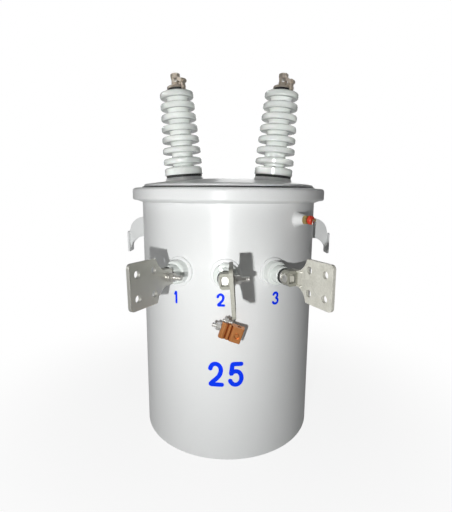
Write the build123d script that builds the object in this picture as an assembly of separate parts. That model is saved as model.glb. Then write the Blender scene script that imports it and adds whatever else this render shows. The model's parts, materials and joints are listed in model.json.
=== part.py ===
from build123d import *
import os
from math import asin, cos, degrees, hypot, sqrt

# Single-phase pole transformer: a round steel tank with a domed lid held by a clamp band,
# two tall shedded bushings on the lid and three low-voltage terminals on the front wall.
# Frame: millimetres, +Z up, the front faces -Y, and the origin is the centre of the base.
# Pieces on the wall are drawn along +Z, which is the distance from the tank's axis.

SIDES = {"left": -1, "centre": 0, "right": 1}
CLEAR = 1.0

# Tank
TANK_R = 215.9
WALL = 3.0
LIP_R = 233.0
LIP_TOP = 584.0
LIP_T = 3.0
BOTTOM_Z = 22.0
BOTTOM_DEPTH = 18.0
BOTTOM_T = 3.0
BOTTOM_BEND = 6.0

# Lid: a shallow dome with a drawn shoulder and a rolled rim
SHEET = 2.5
CREST_Z = 631.7
DOME_R = 1381.0
PLATEAU_R = 213.5
SHOULDER_BEND = 6.0
GASKET_T = 3.5
GASKET_IN = 214.0
RIM_IN = 219.0
RIM_OUT = 232.0
RIM_TOP = 604.2
RIM_BEND = 1.2

# Clamp band and its closure at the back
BAND_IN = 215.7
BAND_OUT = 239.0
BAND_T = 2.5
BAND_TAIL_R = 230.0
BAND_TAIL_END = 217.9
BAND_TAIL_DROP = 4.7
BAND_BEND = 5.0
BAND_GAP = 24.0
EAR_IN = 235.0
EAR_OUT = 268.0
EAR_H = 24.0
EAR_T = 4.0
EAR_CORNER = 6.0
BAND_BOLT_R = 5.0
BAND_BOLT_Y = 255.0
BAND_BOLT_REACH = 30.0

# Hexagons of the fasteners, across the flats, with their heights
HEX_M10 = 16.0
HEAD_M10 = 6.4
NUT_M10 = 8.0

# High-voltage bushings on the lid
HV_X = 112.5
COLLAR_R = 49.0
COLLAR_TOP_R = 45.5
COLLAR_H = 7.4
HV_HOLE_R = 29.0
HV_GASKET_R = 45.0
HV_GASKET_T = 6.0
HV_BASE_R = 47.8
HV_BASE_H = 17.5
HV_BASE_BEND = 5.0
SHED_PITCH = 26.35
FIRST_SHED = 15.8
SHED_RADII = (48.3, 47.9, 46.6, 45.3, 43.9, 42.6, 41.5)
SHED_RIM = 13.0
SHED_SLOPE = 4.5
SHED_DRIP = 1.2
RIM_UPPER_BEND = 4.6
RIM_LOWER_BEND = 3.6
NECK_R = 26.5
NECK_BEND = 2.2
EDGE_BEND = 1.0
TOP_NECK_R = 19.0
TOP_NECK_H = 6.0
SPIGOT_R = 28.0
SPIGOT_L = 45.0

# Cap and eye terminal on each high-voltage bushing
CAP_R = 22.5
CAP_H = 5.5
CAP_BEND = 2.2
FOOT_HEX = 17.0
FOOT_H = 6.0
TERMINAL_R = 10.0
TERMINAL_BODY_H = 14.0
HEAD_HEX = 20.0
HEAD_H = 9.5
EYE_R = 4.6
ARM_TURN = -38.0
ARM_T = 8.0
ARM_L = 21.0
ARM_X = 16.5
ARM_TILT = 28.0
KNUCKLE_X = 25.2
KNUCKLE_UP = 3.0
KNUCKLE_R = 5.6
TONGUE_T = 4.4
TONGUE_W = 10.0
TONGUE_REACH = 20.0

# Low-voltage bushings on the front wall
LV_Z = 430.0
LV_AZIMUTH = 27.4
LV_RING_R = 32.0
LV_RING_FACE = 219.5
LV_RING_BEND = 2.2
LV_HOLE_R = 15.0
PORCELAIN_STEPS = ((25.5, 237.0, 4.0), (18.5, 257.0, 2.5))
LV_SPIGOT_R = 14.0
LV_SPIGOT_IN = 190.0
SEAL_R = 16.0
SEAL_OUT = 260.5

# Studs, jaws and clamping bolts of the low-voltage terminals
STUD_R = 8.0
STUD_IN = 175.0
STUD_ROUND_OUT = 280.0
STUD_OUT = 284.5
TONGUE_HALF_U = 5.3
TONGUE_HALF_V = 5.9
WASHER_R = 14.3
WASHER_OUT = 265.0
JAW_OUT = 286.0
JAW_LEFT = -10.5
JAW_HALF_H = 15.5
JAW_CHAMFER = 4.0
POCKET_U = 7.2
POCKET_V = 9.0
POCKET_IN = 280.0
BOLT_R = 5.0
BOLT_W = 274.5
BOLT_HEAD_R = 9.0
BOLT_HEAD_H = 2.8
BOLT_END = 47.5
BOLT_WASHER_R = 10.5
BOLT_WASHER_T = 2.0

# Spade plates with the usual four-hole pattern
PLATE_T = 6.5
PLATE_U = 11.9
HOLE_SPACING = 44.45
HOLE_R = 7.15
HOLES_MID = 343.2
PAD_OUT = 385.0
PAD_IN = 313.0
PAD_HALF = 43.0
PAD_CORNER = 8.5
PAD_SHOULDER = 3.0
SPADE_IN = 265.0
SPADE_NECK = 285.0
SPADE_NECK_HALF = 15.5
SPADE_WAIST = 6.0
RIB_OUT = 301.0
RIB_T = 3.0
RIB_H = 4.0
RIB_CHAMFER = 2.5
SPADE_TURN = {"left": 1.4, "centre": 4.3, "right": 0.2}

# Lifting lugs at the sides: an arched channel with a wider strap at its outer end
ARCH_X = 218.0
ARCH_LOW_X = 219.5
ARCH_TOP = 534.0
ARCH_LOW = 482.5
LUG_HALF = 10.0
LUG_T = 4.0
STRAP_IN = 255.5
STRAP_T = 4.5
STRAP_HALF = 20.0
STRAP_TOP = 496.5
STRAP_LOW = 444.0
STRAP_CORNER = 5.0

# Pressure relief valve
VALVE_AZIMUTH = 45.0
VALVE_Z = 540.0
VALVE_BOSS_R = 15.5
VALVE_BOSS_END_R = 10.5
VALVE_FACE = 236.0
VALVE_HEX = 17.5
VALVE_HEX_OUT = 245.0
VALVE_NECK_R = 5.5
VALVE_NECK_OUT = 254.0
VALVE_CAP_IN = 247.5
VALVE_CAP_OUT = 257.0
VALVE_CAP_R = 8.9
VALVE_CAP_BEND = 3.4
VALVE_STEM_R = 2.6
VALVE_STEM_OUT = 263.0
VALVE_RING_W = 260.0
VALVE_RING_R = 6.5
VALVE_WIRE_R = 0.8
VALVE_WIRE_HOLE_R = 1.3

# Ground connector on the front wall
GROUND_X = 12.8
GROUND_Z = 316.4
GROUND_TURN = -18.0
GROUND_BOSS_R = 11.0
GROUND_FACE = 241.0
CLAMP_H = 32.5
CLAMP_T = 17.0
CLAMP_LOW_T = 10.0
CLAMP_LEFT = -23.5
CLAMP_RIGHT = 22.7
RIDGES = ((-17.0, 6.5), (-6.0, 4.5))
CLAMP_SHOULDER = 4.0
CLAMP_CORNER = 2.5
WIRE_R = 4.0
WIRE_U = 12.0
WIRE_DEPTH = 8.0
SCREW_V = -1.6
SCREW_R = 4.6
SCREW_SUNK = 1.2
SCREW_RECESS_R = 6.2
SCREW_RECESS = 3.0
GROUND_BOLT_V = 3.0
GROUND_BOLT_DEPTH = 5.3
GROUND_BOLT_R = 4.2
GROUND_BOLT_HEX = 14.3
GROUND_NUT_H = 8.0
GROUND_BOLT_LEFT = -42.0
GROUND_BOLT_RIGHT = -4.0

# Pole hanger brackets at the back
HANGER_SPACING = 285.75
HANGER_LOW_Z = 160.0
HANGER_FACE = 258.0
HANGER_HALF_W = 42.0
HANGER_H = 76.0
HANGER_T = 6.0
HANGER_BEND = 9.0
HANGER_SLOT_R = 9.0

# Core and coils, sealed inside the tank
CORE_L = 290.0
CORE_D = 130.0
CORE_H = 345.0
CORE_CORNER = 25.0
COIL_L = 210.0
COIL_D = 230.0
COIL_H = 260.0
COIL_CORNER = 45.0


def spin(points):
    """Turn a closed outline of (radius, height) points about the vertical axis."""
    outline = make_face(Polyline(*points, close=True))
    return revolve(Plane.XZ * outline, Axis.Z)


def direction(start, end):
    length = hypot(end[0] - start[0], end[1] - start[1])
    return (end[0] - start[0]) / length, (end[1] - start[1]) / length


def sheet_faces(points, thickness, bends):
    """The two faces of a bent sheet: the drawn one, and the one to its right."""
    drawn_radii = []
    right_radii = []
    right = []
    final = len(points) - 1
    for index, point in enumerate(points):
        before = direction(points[max(index - 1, 0)], points[max(index, 1)])
        after = direction(points[min(index, final - 1)], points[min(index + 1, final)])
        turn = before[0] * after[1] - before[1] * after[0]
        reach = thickness / (1 + before[0] * after[0] + before[1] * after[1])
        right.append((
            point[0] + reach * (before[1] + after[1]),
            point[1] - reach * (before[0] + after[0]),
        ))
        if 0 < index < final:
            bend = bends[index - 1]
            drawn_radii.append(bend if turn > 0 else bend + thickness)
            right_radii.append(bend + thickness if turn > 0 else bend)
    return FilletPolyline(*points, radius=drawn_radii), FilletPolyline(*right, radius=right_radii)


def spin_sheet(points, thickness, bends, closing=()):
    """Turn a bent sheet about the vertical axis, with inside radii for its bends."""
    drawn, right = sheet_faces(points, thickness, bends)
    edges = [*drawn.edges(), *right.edges(), Line(drawn @ 1, right @ 1)]
    if closing:
        edges.extend(closing)
    else:
        edges.append(Line(drawn @ 0, right @ 0))
    return revolve(Plane.XZ * make_face(edges), Axis.Z)


def disc(radius, low, high):
    """A round bar along Z between two heights."""
    return Pos(0, 0, low) * extrude(Circle(radius), high - low)


def hexagon(across, low, high):
    """A hexagonal bar along Z between two heights, measured across its flats."""
    flats = RegularPolygon(across / 2, 6, major_radius=False)
    return Pos(0, 0, low) * extrude(flats, high - low)


def round_end(solid, radius):
    """Round the far edges of a shape drawn along Z."""
    return fillet(solid.edges().group_by(Axis.Z)[-1], radius)


def on_wall(azimuth, height):
    """Place a shape drawn along +Z from the tank's axis onto the wall at an azimuth."""
    return Rot(0, 0, azimuth) * Pos(0, 0, height) * Rot(90, 0, 0)


def on_dome(side):
    """Place a shape drawn along +Z on the dome, square to its surface."""
    tilt = asin(HV_X / DOME_R)
    height = CREST_Z - DOME_R * (1 - cos(tilt))
    return Pos(side * HV_X, 0, height) * Rot(0, side * degrees(tilt), 0)


# Tank


def tank_inner():
    return TANK_R - WALL


def tank_shell():
    inner = tank_inner()
    shell = spin([
        (inner, 0), (TANK_R, 0), (TANK_R, LIP_TOP - LIP_T),
        (LIP_R, LIP_TOP - LIP_T), (LIP_R, LIP_TOP), (inner, LIP_TOP),
    ])
    for side in SIDES.values():
        place = on_wall(side * LV_AZIMUTH, LV_Z)
        shell += place * round_end(disc(LV_RING_R, inner, LV_RING_FACE), LV_RING_BEND)
        shell -= place * disc(LV_HOLE_R, inner - 20, LV_RING_FACE + CLEAR)
    return shell - disc(inner, 0, LIP_TOP)


def tank_bottom():
    inner = tank_inner()
    top = BOTTOM_Z + BOTTOM_T
    points = [(0, top), (inner, top), (inner, BOTTOM_Z - BOTTOM_DEPTH)]
    return spin_sheet(points, BOTTOM_T, [BOTTOM_BEND])


# Lid and band


def dome_height(radius, depth=0.0):
    return CREST_Z - DOME_R + sqrt((DOME_R - depth) ** 2 - radius ** 2)


def dome_arc(radius, depth):
    """An arc of the dome's section, from the axis out, at a depth below the surface."""
    middle = radius / 2
    return ThreePointArc(
        (0, dome_height(0, depth)),
        (middle, dome_height(middle, depth)),
        (radius, dome_height(radius, depth)),
    )


def lid():
    seat = LIP_TOP + GASKET_T
    flat = 2 * SHOULDER_BEND
    edge = PLATEAU_R - flat
    slope = edge / sqrt(DOME_R ** 2 - edge ** 2)
    under = edge * (DOME_R - SHEET) / DOME_R
    points = [
        (edge, dome_height(edge)), (PLATEAU_R, dome_height(edge) - slope * flat),
        (PLATEAU_R, seat + SHEET), (RIM_IN, seat + SHEET),
        (RIM_IN, RIM_TOP), (RIM_OUT, RIM_TOP), (RIM_OUT, seat),
    ]
    bends = [SHOULDER_BEND, RIM_BEND, RIM_BEND, RIM_BEND, RIM_BEND]
    closing = [
        dome_arc(edge, 0.0), dome_arc(under, SHEET), Line((0, CREST_Z), (0, CREST_Z - SHEET)),
    ]
    cap = spin_sheet(points, SHEET, bends, closing)
    for side in (-1, 1):
        foot = disc(COLLAR_R, -CLEAR, 0)
        rise = loft([Circle(COLLAR_R), Pos(0, 0, COLLAR_H) * Circle(COLLAR_TOP_R)])
        cap += on_dome(side) * (foot + rise)
    for side in (-1, 1):
        cap -= on_dome(side) * disc(HV_HOLE_R, -SPIGOT_L, COLLAR_H + CLEAR)
    return cap


def lid_gasket():
    return spin([
        (GASKET_IN, LIP_TOP), (LIP_R, LIP_TOP),
        (LIP_R, LIP_TOP + GASKET_T), (GASKET_IN, LIP_TOP + GASKET_T),
    ])


def band_heights():
    """The upper and lower faces of the clamp band."""
    return RIM_TOP + BAND_T, LIP_TOP - LIP_T - BAND_T


def clamp_band():
    top, low = band_heights()
    points = [
        (BAND_IN, top), (BAND_OUT, top), (BAND_OUT, low),
        (BAND_TAIL_R, low), (BAND_TAIL_END, low - BAND_TAIL_DROP),
    ]
    band = spin_sheet(points, BAND_T, [BAND_BEND, BAND_BEND / 2, BAND_BEND / 2])
    band -= Pos(0, TANK_R, top) * Box(BAND_GAP, 4 * EAR_H, 4 * EAR_H)
    reach = EAR_OUT - EAR_IN
    ear = Box(EAR_T, reach, EAR_H)
    ear = fillet(ear.edges().filter_by(Axis.X).group_by(Axis.Y)[-1], EAR_CORNER)
    bolt_hole = Rot(0, 90, 0) * Cylinder(BAND_BOLT_R + CLEAR / 2, 3 * EAR_T)
    ear -= Pos(0, BAND_BOLT_Y - EAR_IN - reach / 2, 0) * bolt_hole
    for side in (-1, 1):
        band += Pos(side * (BAND_GAP + EAR_T) / 2, EAR_IN + reach / 2, (top + low) / 2) * ear
    return band


def band_bolt():
    outside = BAND_GAP / 2 + EAR_T
    bolt = disc(BAND_BOLT_R, -outside, BAND_BOLT_REACH)
    bolt += hexagon(HEX_M10, -outside - HEAD_M10, -outside)
    bolt += hexagon(HEX_M10, outside, outside + NUT_M10)
    return Pos(0, BAND_BOLT_Y, sum(band_heights()) / 2) * Rot(0, 90, 0) * bolt


# High-voltage bushings


def hv_gasket(side):
    ring = disc(HV_GASKET_R, COLLAR_H, COLLAR_H + HV_GASKET_T)
    return on_dome(side) * (ring - disc(HV_HOLE_R, 0, COLLAR_H + HV_GASKET_T + CLEAR))


def hv_outline():
    """The porcelain's corners as (radius, height above the dome, rounding), from below."""
    low = COLLAR_H + HV_GASKET_T
    base_top = low + HV_BASE_H
    corners = [
        (0, low - SPIGOT_L, 0), (SPIGOT_R, low - SPIGOT_L, EDGE_BEND), (SPIGOT_R, low, EDGE_BEND),
        (HV_BASE_R, low, EDGE_BEND), (HV_BASE_R, base_top, HV_BASE_BEND),
    ]
    last = base_top
    for step, radius in enumerate(SHED_RADII):
        middle = base_top + FIRST_SHED + step * SHED_PITCH
        under = middle - SHED_RIM / 2
        crown = middle + SHED_RIM / 2
        corners.extend([
            (NECK_R, last + SHED_SLOPE, NECK_BEND), (NECK_R, under + SHED_DRIP, NECK_BEND),
            (radius, under, RIM_LOWER_BEND), (radius, crown, RIM_UPPER_BEND),
        ])
        last = crown
    foot = last + SHED_SLOPE
    corners.extend([
        (TOP_NECK_R, foot, NECK_BEND), (TOP_NECK_R, foot + TOP_NECK_H, EDGE_BEND),
        (0, foot + TOP_NECK_H, 0),
    ])
    return corners


def hv_top():
    return hv_outline()[-1][1]


def hv_bushing(side):
    corners = hv_outline()
    points = [(radius, height) for radius, height, bend in corners]
    outline = FilletPolyline(*points, radius=[bend for radius, height, bend in corners[1:-1]])
    face = make_face([*outline.edges(), Line(outline @ 1, outline @ 0)])
    return on_dome(side) * revolve(Plane.XZ * face, Axis.Z)


def hv_cap(side):
    low = hv_top()
    return on_dome(side) * round_end(disc(CAP_R, low, low + CAP_H), CAP_BEND)


def hv_terminal(side):
    """A hexagon-headed eye terminal, with a side arm whose tongue hangs past the cap."""
    foot = hv_top() + CAP_H
    body_low = foot + FOOT_H
    body_top = body_low + TERMINAL_BODY_H
    body = hexagon(FOOT_HEX, foot, body_low) + disc(TERMINAL_R, body_low, body_top)
    body += round_end(hexagon(HEAD_HEX, body_top, body_top + HEAD_H), EDGE_BEND)
    middle = (body_low + body_top) / 2
    arm = Pos(ARM_X, 0, middle) * Rot(0, ARM_TILT, 0) * Box(ARM_L, ARM_T, ARM_T)
    bend = body_low + KNUCKLE_UP
    arm += Pos(KNUCKLE_X, 0, bend) * Rot(90, 0, 0) * Cylinder(KNUCKLE_R, TONGUE_W)
    arm += Pos(KNUCKLE_X, 0, bend - TONGUE_REACH / 2) * Box(TONGUE_T, TONGUE_W, TONGUE_REACH)
    eye = Pos(0, 0, middle) * Rot(90, 0, 0) * Cylinder(EYE_R, 4 * TERMINAL_R)
    return on_dome(side) * (body + Rot(0, 0, ARM_TURN) * arm - eye)


# Low-voltage terminals


def lv_place(name):
    return on_wall(SIDES[name] * LV_AZIMUTH, LV_Z)


def spade_turn(name):
    """The plate, its jaw and its bolt lean together about the stud."""
    return lv_place(name) * Rot(0, 0, SPADE_TURN[name])


def cross_bar(radius, reach):
    """A bar across the stud, where the clamping bolt passes."""
    return Pos(0, 0, BOLT_W) * Rot(0, 90, 0) * Cylinder(radius, reach)


def lv_bushing(name):
    bushing = disc(LV_SPIGOT_R, LV_SPIGOT_IN, LV_RING_FACE + CLEAR)
    last = LV_RING_FACE
    for radius, end, bend in PORCELAIN_STEPS:
        bushing += round_end(disc(radius, last, end), bend)
        last = end
    return lv_place(name) * (bushing - disc(STUD_R, STUD_IN, SEAL_OUT))


def lv_seal(name):
    porcelain_end = PORCELAIN_STEPS[-1][1]
    ring = disc(SEAL_R, porcelain_end, SEAL_OUT) - disc(STUD_R, STUD_IN, SEAL_OUT + CLEAR)
    return lv_place(name) * ring


def lv_stud(name):
    """A round stud with its washer and a flat tongue at its end."""
    stud = disc(STUD_R, STUD_IN, STUD_ROUND_OUT)
    stud += round_end(disc(WASHER_R, SEAL_OUT, WASHER_OUT), EDGE_BEND)
    tongue = Rectangle(2 * TONGUE_HALF_U, 2 * TONGUE_HALF_V)
    tongue = Pos(0, 0, STUD_ROUND_OUT) * extrude(tongue, STUD_OUT - STUD_ROUND_OUT)
    turned = stud + Rot(0, 0, SPADE_TURN[name]) * tongue
    return lv_place(name) * (turned - Rot(0, 0, SPADE_TURN[name]) * cross_bar(BOLT_R, 4 * STUD_R))


def lv_jaw(name):
    """A clamping block around the stud, with a pocket that shows the stud's tongue."""
    width = PLATE_U - JAW_LEFT
    depth = JAW_OUT - WASHER_OUT
    jaw = Pos(JAW_LEFT + width / 2, 0, WASHER_OUT + depth / 2) * Box(width, 2 * JAW_HALF_H, depth)
    jaw = chamfer(jaw.edges().filter_by(Axis.Z).group_by(Axis.X)[0], JAW_CHAMFER)
    pocket = extrude(Rectangle(2 * POCKET_U, 2 * POCKET_V), JAW_OUT)
    jaw -= Pos(0, 0, POCKET_IN) * pocket
    jaw -= disc(STUD_R, STUD_IN, POCKET_IN)
    return spade_turn(name) * (jaw - cross_bar(BOLT_R, 4 * JAW_HALF_H))


def spade_outline():
    """The plate in (distance from the tank's axis, height): a pad, a waist and a neck."""
    edges = [Line((SPADE_IN, -SPADE_NECK_HALF), (SPADE_IN, SPADE_NECK_HALF))]
    for side in (1, -1):
        neck_start = (SPADE_IN, side * SPADE_NECK_HALF)
        neck_end = (SPADE_NECK, side * SPADE_NECK_HALF)
        shoulder = (PAD_IN, side * PAD_HALF)
        rise = side * (PAD_HALF - SPADE_NECK_HALF)
        middle = (
            (SPADE_NECK + PAD_IN) / 2 + SPADE_WAIST / sqrt(2),
            side * SPADE_NECK_HALF + rise / 2 - side * SPADE_WAIST / sqrt(2),
        )
        edges.append(Line(neck_start, neck_end))
        edges.append(ThreePointArc(neck_end, middle, shoulder))
        edges.append(Line(shoulder, (PAD_OUT, side * PAD_HALF)))
    edges.append(Line((PAD_OUT, -PAD_HALF), (PAD_OUT, PAD_HALF)))
    return make_face(edges)


def lv_spade(name):
    outline = spade_outline()
    shoulders = outline.vertices().filter_by_position(Axis.X, PAD_IN - CLEAR, PAD_IN + CLEAR)
    outline = fillet(shoulders, PAD_SHOULDER)
    outline = fillet(outline.vertices().group_by(Axis.X)[-1], PAD_CORNER)
    for w in (-0.5, 0.5):
        for v in (-0.5, 0.5):
            outline -= Pos(HOLES_MID + w * HOLE_SPACING, v * HOLE_SPACING) * Circle(HOLE_R)
    outline -= Pos(BOLT_W, 0) * Circle(BOLT_R)
    plate = extrude(outline, PLATE_T)
    for side in (-1, 1):
        middle = ((JAW_OUT + RIB_OUT) / 2, side * (SPADE_NECK_HALF - RIB_T / 2))
        rib = Pos(*middle, PLATE_T + RIB_H / 2 - CLEAR) * Box(RIB_OUT - JAW_OUT, RIB_T, RIB_H)
        far_edges = rib.edges().filter_by(Axis.Y).group_by(Axis.X)[-1]
        plate += chamfer(far_edges.group_by(Axis.Z)[-1], RIB_CHAMFER)
    upright = Pos(PLATE_U + PLATE_T, 0, 0) * Rot(0, -90, 0)
    return spade_turn(name) * upright * plate


def lv_bolt(name):
    """A bolt through the jaw, the stud and the plate, with its washer and nut."""
    face = PLATE_U + PLATE_T
    nut_low = face + BOLT_WASHER_T
    bolt = disc(BOLT_R, JAW_LEFT, BOLT_END) + disc(BOLT_WASHER_R, face, nut_low)
    bolt += hexagon(HEX_M10, nut_low, nut_low + NUT_M10)
    head = Rot(180, 0, 0) * round_end(disc(BOLT_HEAD_R, 0, BOLT_HEAD_H), BOLT_HEAD_H - CLEAR)
    bolt += Pos(0, 0, JAW_LEFT) * head
    return spade_turn(name) * Pos(0, 0, BOLT_W) * Rot(0, 90, 0) * bolt


# Lifting lugs


def arch(inset):
    """The lug's side outline, drawn smaller by an inset on its outer side."""
    wall = sqrt(TANK_R ** 2 - LUG_HALF ** 2) - CLEAR
    top = ARCH_TOP - inset
    outer = STRAP_IN - inset
    low_radius = STRAP_IN - ARCH_LOW_X
    low_end = (STRAP_IN - inset, ARCH_LOW - low_radius)
    return make_face([
        Line((wall, ARCH_LOW), (wall, top)),
        Line((wall, top), (ARCH_X, top)),
        RadiusArc((ARCH_X, top), (outer, ARCH_TOP - STRAP_IN + ARCH_X), outer - ARCH_X),
        Line((outer, ARCH_TOP - STRAP_IN + ARCH_X), low_end),
        RadiusArc(low_end, (ARCH_LOW_X, ARCH_LOW), -low_radius),
        Line((ARCH_LOW_X, ARCH_LOW), (wall, ARCH_LOW)),
    ])


def lifting_lug(side):
    channel = extrude(Plane.XZ * arch(0), LUG_HALF, both=True)
    channel -= extrude(Plane.XZ * arch(LUG_T), LUG_HALF - LUG_T, both=True)
    strap = Pos(STRAP_IN + STRAP_T / 2, 0, (STRAP_TOP + STRAP_LOW) / 2)
    strap = strap * Box(STRAP_T, 2 * STRAP_HALF, STRAP_TOP - STRAP_LOW)
    strap = fillet(strap.edges().filter_by(Axis.X), STRAP_CORNER)
    lug = channel + strap - disc(TANK_R, STRAP_LOW - CLEAR, ARCH_TOP + CLEAR)
    return Rot(0, 0, 90 - 90 * side) * lug


# Pressure relief valve


def valve_place():
    return on_wall(VALVE_AZIMUTH, VALVE_Z)


def relief_valve_boss():
    low = TANK_R - CLEAR
    root = Pos(0, 0, low) * Circle(VALVE_BOSS_R)
    boss = loft([root, Pos(0, 0, VALVE_FACE) * Circle(VALVE_BOSS_END_R)])
    return valve_place() * boss - disc(TANK_R, VALVE_Z - 2 * VALVE_BOSS_R, VALVE_Z + 2 * VALVE_BOSS_R)


def relief_valve_body():
    body = hexagon(VALVE_HEX, VALVE_FACE, VALVE_HEX_OUT)
    body += disc(VALVE_NECK_R, VALVE_HEX_OUT, VALVE_NECK_OUT)
    body += disc(VALVE_STEM_R, VALVE_NECK_OUT, VALVE_STEM_OUT)
    wire_hole = Rot(0, 90, 0) * Cylinder(VALVE_WIRE_HOLE_R, 4 * VALVE_STEM_R)
    return valve_place() * (body - Pos(0, 0, VALVE_RING_W) * wire_hole)


def relief_valve_cap():
    cap = disc(VALVE_CAP_R, VALVE_CAP_IN, VALVE_CAP_OUT)
    cap = fillet(cap.edges().group_by(Axis.Z)[0], CLEAR)
    cap = round_end(cap, VALVE_CAP_BEND)
    cap -= disc(VALVE_NECK_R, VALVE_HEX_OUT, VALVE_NECK_OUT)
    return valve_place() * (cap - disc(VALVE_STEM_R, VALVE_HEX_OUT, VALVE_STEM_OUT))


def relief_valve_ring():
    return valve_place() * Pos(0, -VALVE_RING_R, VALVE_RING_W) * Torus(VALVE_RING_R, VALVE_WIRE_R)


# Ground connector


def ground_place():
    return Pos(GROUND_X, 0, GROUND_Z) * Rot(90, 0, 0)


def clamp_place():
    """The clamp's own frame: across, up and out, from the face of its boss."""
    return ground_place() * Pos(0, 0, GROUND_FACE) * Rot(0, 0, GROUND_TURN)


def ground_boss():
    boss = disc(GROUND_BOSS_R, TANK_R - 3 * CLEAR, GROUND_FACE)
    tank = disc(TANK_R, GROUND_Z - 2 * GROUND_BOSS_R, GROUND_Z + 2 * GROUND_BOSS_R)
    return ground_place() * boss - tank


def clamp_outline():
    """The extruded section of the clamp: two round ridges, a groove and a thick block."""
    edges = [Line((CLAMP_LEFT, 0), (CLAMP_LEFT, CLAMP_LOW_T))]
    last = CLAMP_LEFT
    for middle, radius in RIDGES:
        start = (middle - radius, CLAMP_LOW_T)
        end = (middle + radius, CLAMP_LOW_T)
        if start[0] > last:
            edges.append(Line((last, CLAMP_LOW_T), start))
        edges.append(ThreePointArc(start, (middle, CLAMP_LOW_T + radius), end))
        last = end[0]
    shoulder = (last, CLAMP_T - CLAMP_SHOULDER)
    edges.append(Line((last, CLAMP_LOW_T), shoulder))
    edges.append(RadiusArc(shoulder, (last + CLAMP_SHOULDER, CLAMP_T), CLAMP_SHOULDER))
    edges.append(Line((last + CLAMP_SHOULDER, CLAMP_T), (CLAMP_RIGHT - CLAMP_CORNER, CLAMP_T)))
    corner = (CLAMP_RIGHT, CLAMP_T - CLAMP_CORNER)
    edges.append(RadiusArc((CLAMP_RIGHT - CLAMP_CORNER, CLAMP_T), corner, CLAMP_CORNER))
    edges.append(Line(corner, (CLAMP_RIGHT, 0)))
    edges.append(Line((CLAMP_RIGHT, 0), (CLAMP_LEFT, 0)))
    return make_face(edges)


def ground_clamp():
    body = extrude(Plane.XZ * clamp_outline(), CLAMP_H / 2, both=True)
    body -= Pos(WIRE_U, 0, WIRE_DEPTH) * Rot(90, 0, 0) * Cylinder(WIRE_R, 2 * CLAMP_H)
    body -= Pos(WIRE_U, SCREW_V, 0) * disc(SCREW_R, WIRE_DEPTH + WIRE_R, CLAMP_T + CLEAR)
    body -= Pos(WIRE_U, SCREW_V, 0) * disc(SCREW_RECESS_R, CLAMP_T - SCREW_RECESS, CLAMP_T + CLEAR)
    body -= ground_bolt_axis() * disc(GROUND_BOLT_R, GROUND_BOLT_LEFT, GROUND_BOLT_RIGHT)
    return clamp_place() * body


def ground_screw():
    screw = disc(SCREW_R, WIRE_DEPTH + WIRE_R, CLAMP_T - SCREW_SUNK)
    return clamp_place() * Pos(WIRE_U, SCREW_V, 0) * round_end(screw, CLEAR)


def ground_bolt_axis():
    return Pos(0, GROUND_BOLT_V, GROUND_BOLT_DEPTH) * Rot(0, 90, 0)


def ground_bolt():
    bolt = disc(GROUND_BOLT_R, GROUND_BOLT_LEFT, GROUND_BOLT_RIGHT)
    bolt += hexagon(GROUND_BOLT_HEX, CLAMP_LEFT - GROUND_NUT_H, CLAMP_LEFT)
    return clamp_place() * ground_bolt_axis() * bolt


# Pole hanger brackets


def hanger_bracket(height):
    """A pressed channel against the wall, with a bolt slot open at its lower edge."""
    depth = HANGER_FACE - TANK_R + 2 * HANGER_T
    body = Pos(0, HANGER_FACE - depth / 2, height) * Box(2 * HANGER_HALF_W, depth, HANGER_H)
    body = fillet(body.edges().filter_by(Axis.Z).group_by(Axis.Y)[-1], HANGER_BEND)
    inside = 2 * (HANGER_HALF_W - HANGER_T)
    body -= Pos(0, HANGER_FACE - HANGER_T - depth / 2, height) * Box(inside, depth, 2 * HANGER_H)
    slot = Rot(90, 0, 0) * Cylinder(HANGER_SLOT_R, 4 * HANGER_T)
    slot += Pos(0, 0, -HANGER_H / 2) * Box(2 * HANGER_SLOT_R, 4 * HANGER_T, HANGER_H)
    body -= Pos(0, HANGER_FACE, height) * slot
    return body - disc(TANK_R, height - HANGER_H, height + HANGER_H)


# Core and coils


def core_and_coils():
    middle = BOTTOM_Z + BOTTOM_T + CORE_H / 2
    core = Pos(0, 0, middle) * Box(CORE_L, CORE_D, CORE_H)
    core = fillet(core.edges().filter_by(Axis.Y), CORE_CORNER)
    coil = Pos(0, 0, middle) * Box(COIL_L, COIL_D, COIL_H)
    return core + fillet(coil.edges().filter_by(Axis.Z), COIL_CORNER)


def pieces():
    """Every node's name with its solid."""
    made = {
        "tank_shell": tank_shell(),
        "tank_bottom": tank_bottom(),
        "core_and_coils": core_and_coils(),
        "lid": lid(),
        "lid_gasket": lid_gasket(),
        "clamp_band": clamp_band(),
        "band_bolt": band_bolt(),
        "relief_valve_boss": relief_valve_boss(),
        "relief_valve_body": relief_valve_body(),
        "relief_valve_cap": relief_valve_cap(),
        "relief_valve_ring": relief_valve_ring(),
        "ground_boss": ground_boss(),
        "ground_clamp": ground_clamp(),
        "ground_screw": ground_screw(),
        "ground_bolt": ground_bolt(),
        "hanger_bracket_upper": hanger_bracket(HANGER_LOW_Z + HANGER_SPACING),
        "hanger_bracket_lower": hanger_bracket(HANGER_LOW_Z),
    }
    for name in ("left", "right"):
        side = SIDES[name]
        made["hv_gasket_" + name] = hv_gasket(side)
        made["hv_bushing_" + name] = hv_bushing(side)
        made["hv_cap_" + name] = hv_cap(side)
        made["hv_terminal_" + name] = hv_terminal(side)
        made["lifting_lug_" + name] = lifting_lug(side)
    for name in SIDES:
        made["lv_bushing_" + name] = lv_bushing(name)
        made["lv_seal_" + name] = lv_seal(name)
        made["lv_stud_" + name] = lv_stud(name)
        made["lv_jaw_" + name] = lv_jaw(name)
        made["lv_spade_" + name] = lv_spade(name)
        made["lv_bolt_" + name] = lv_bolt(name)
    return made


os.makedirs("parts", exist_ok=True)
for node, solid in pieces().items():
    export_step(solid, "parts/" + node + ".step")
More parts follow.
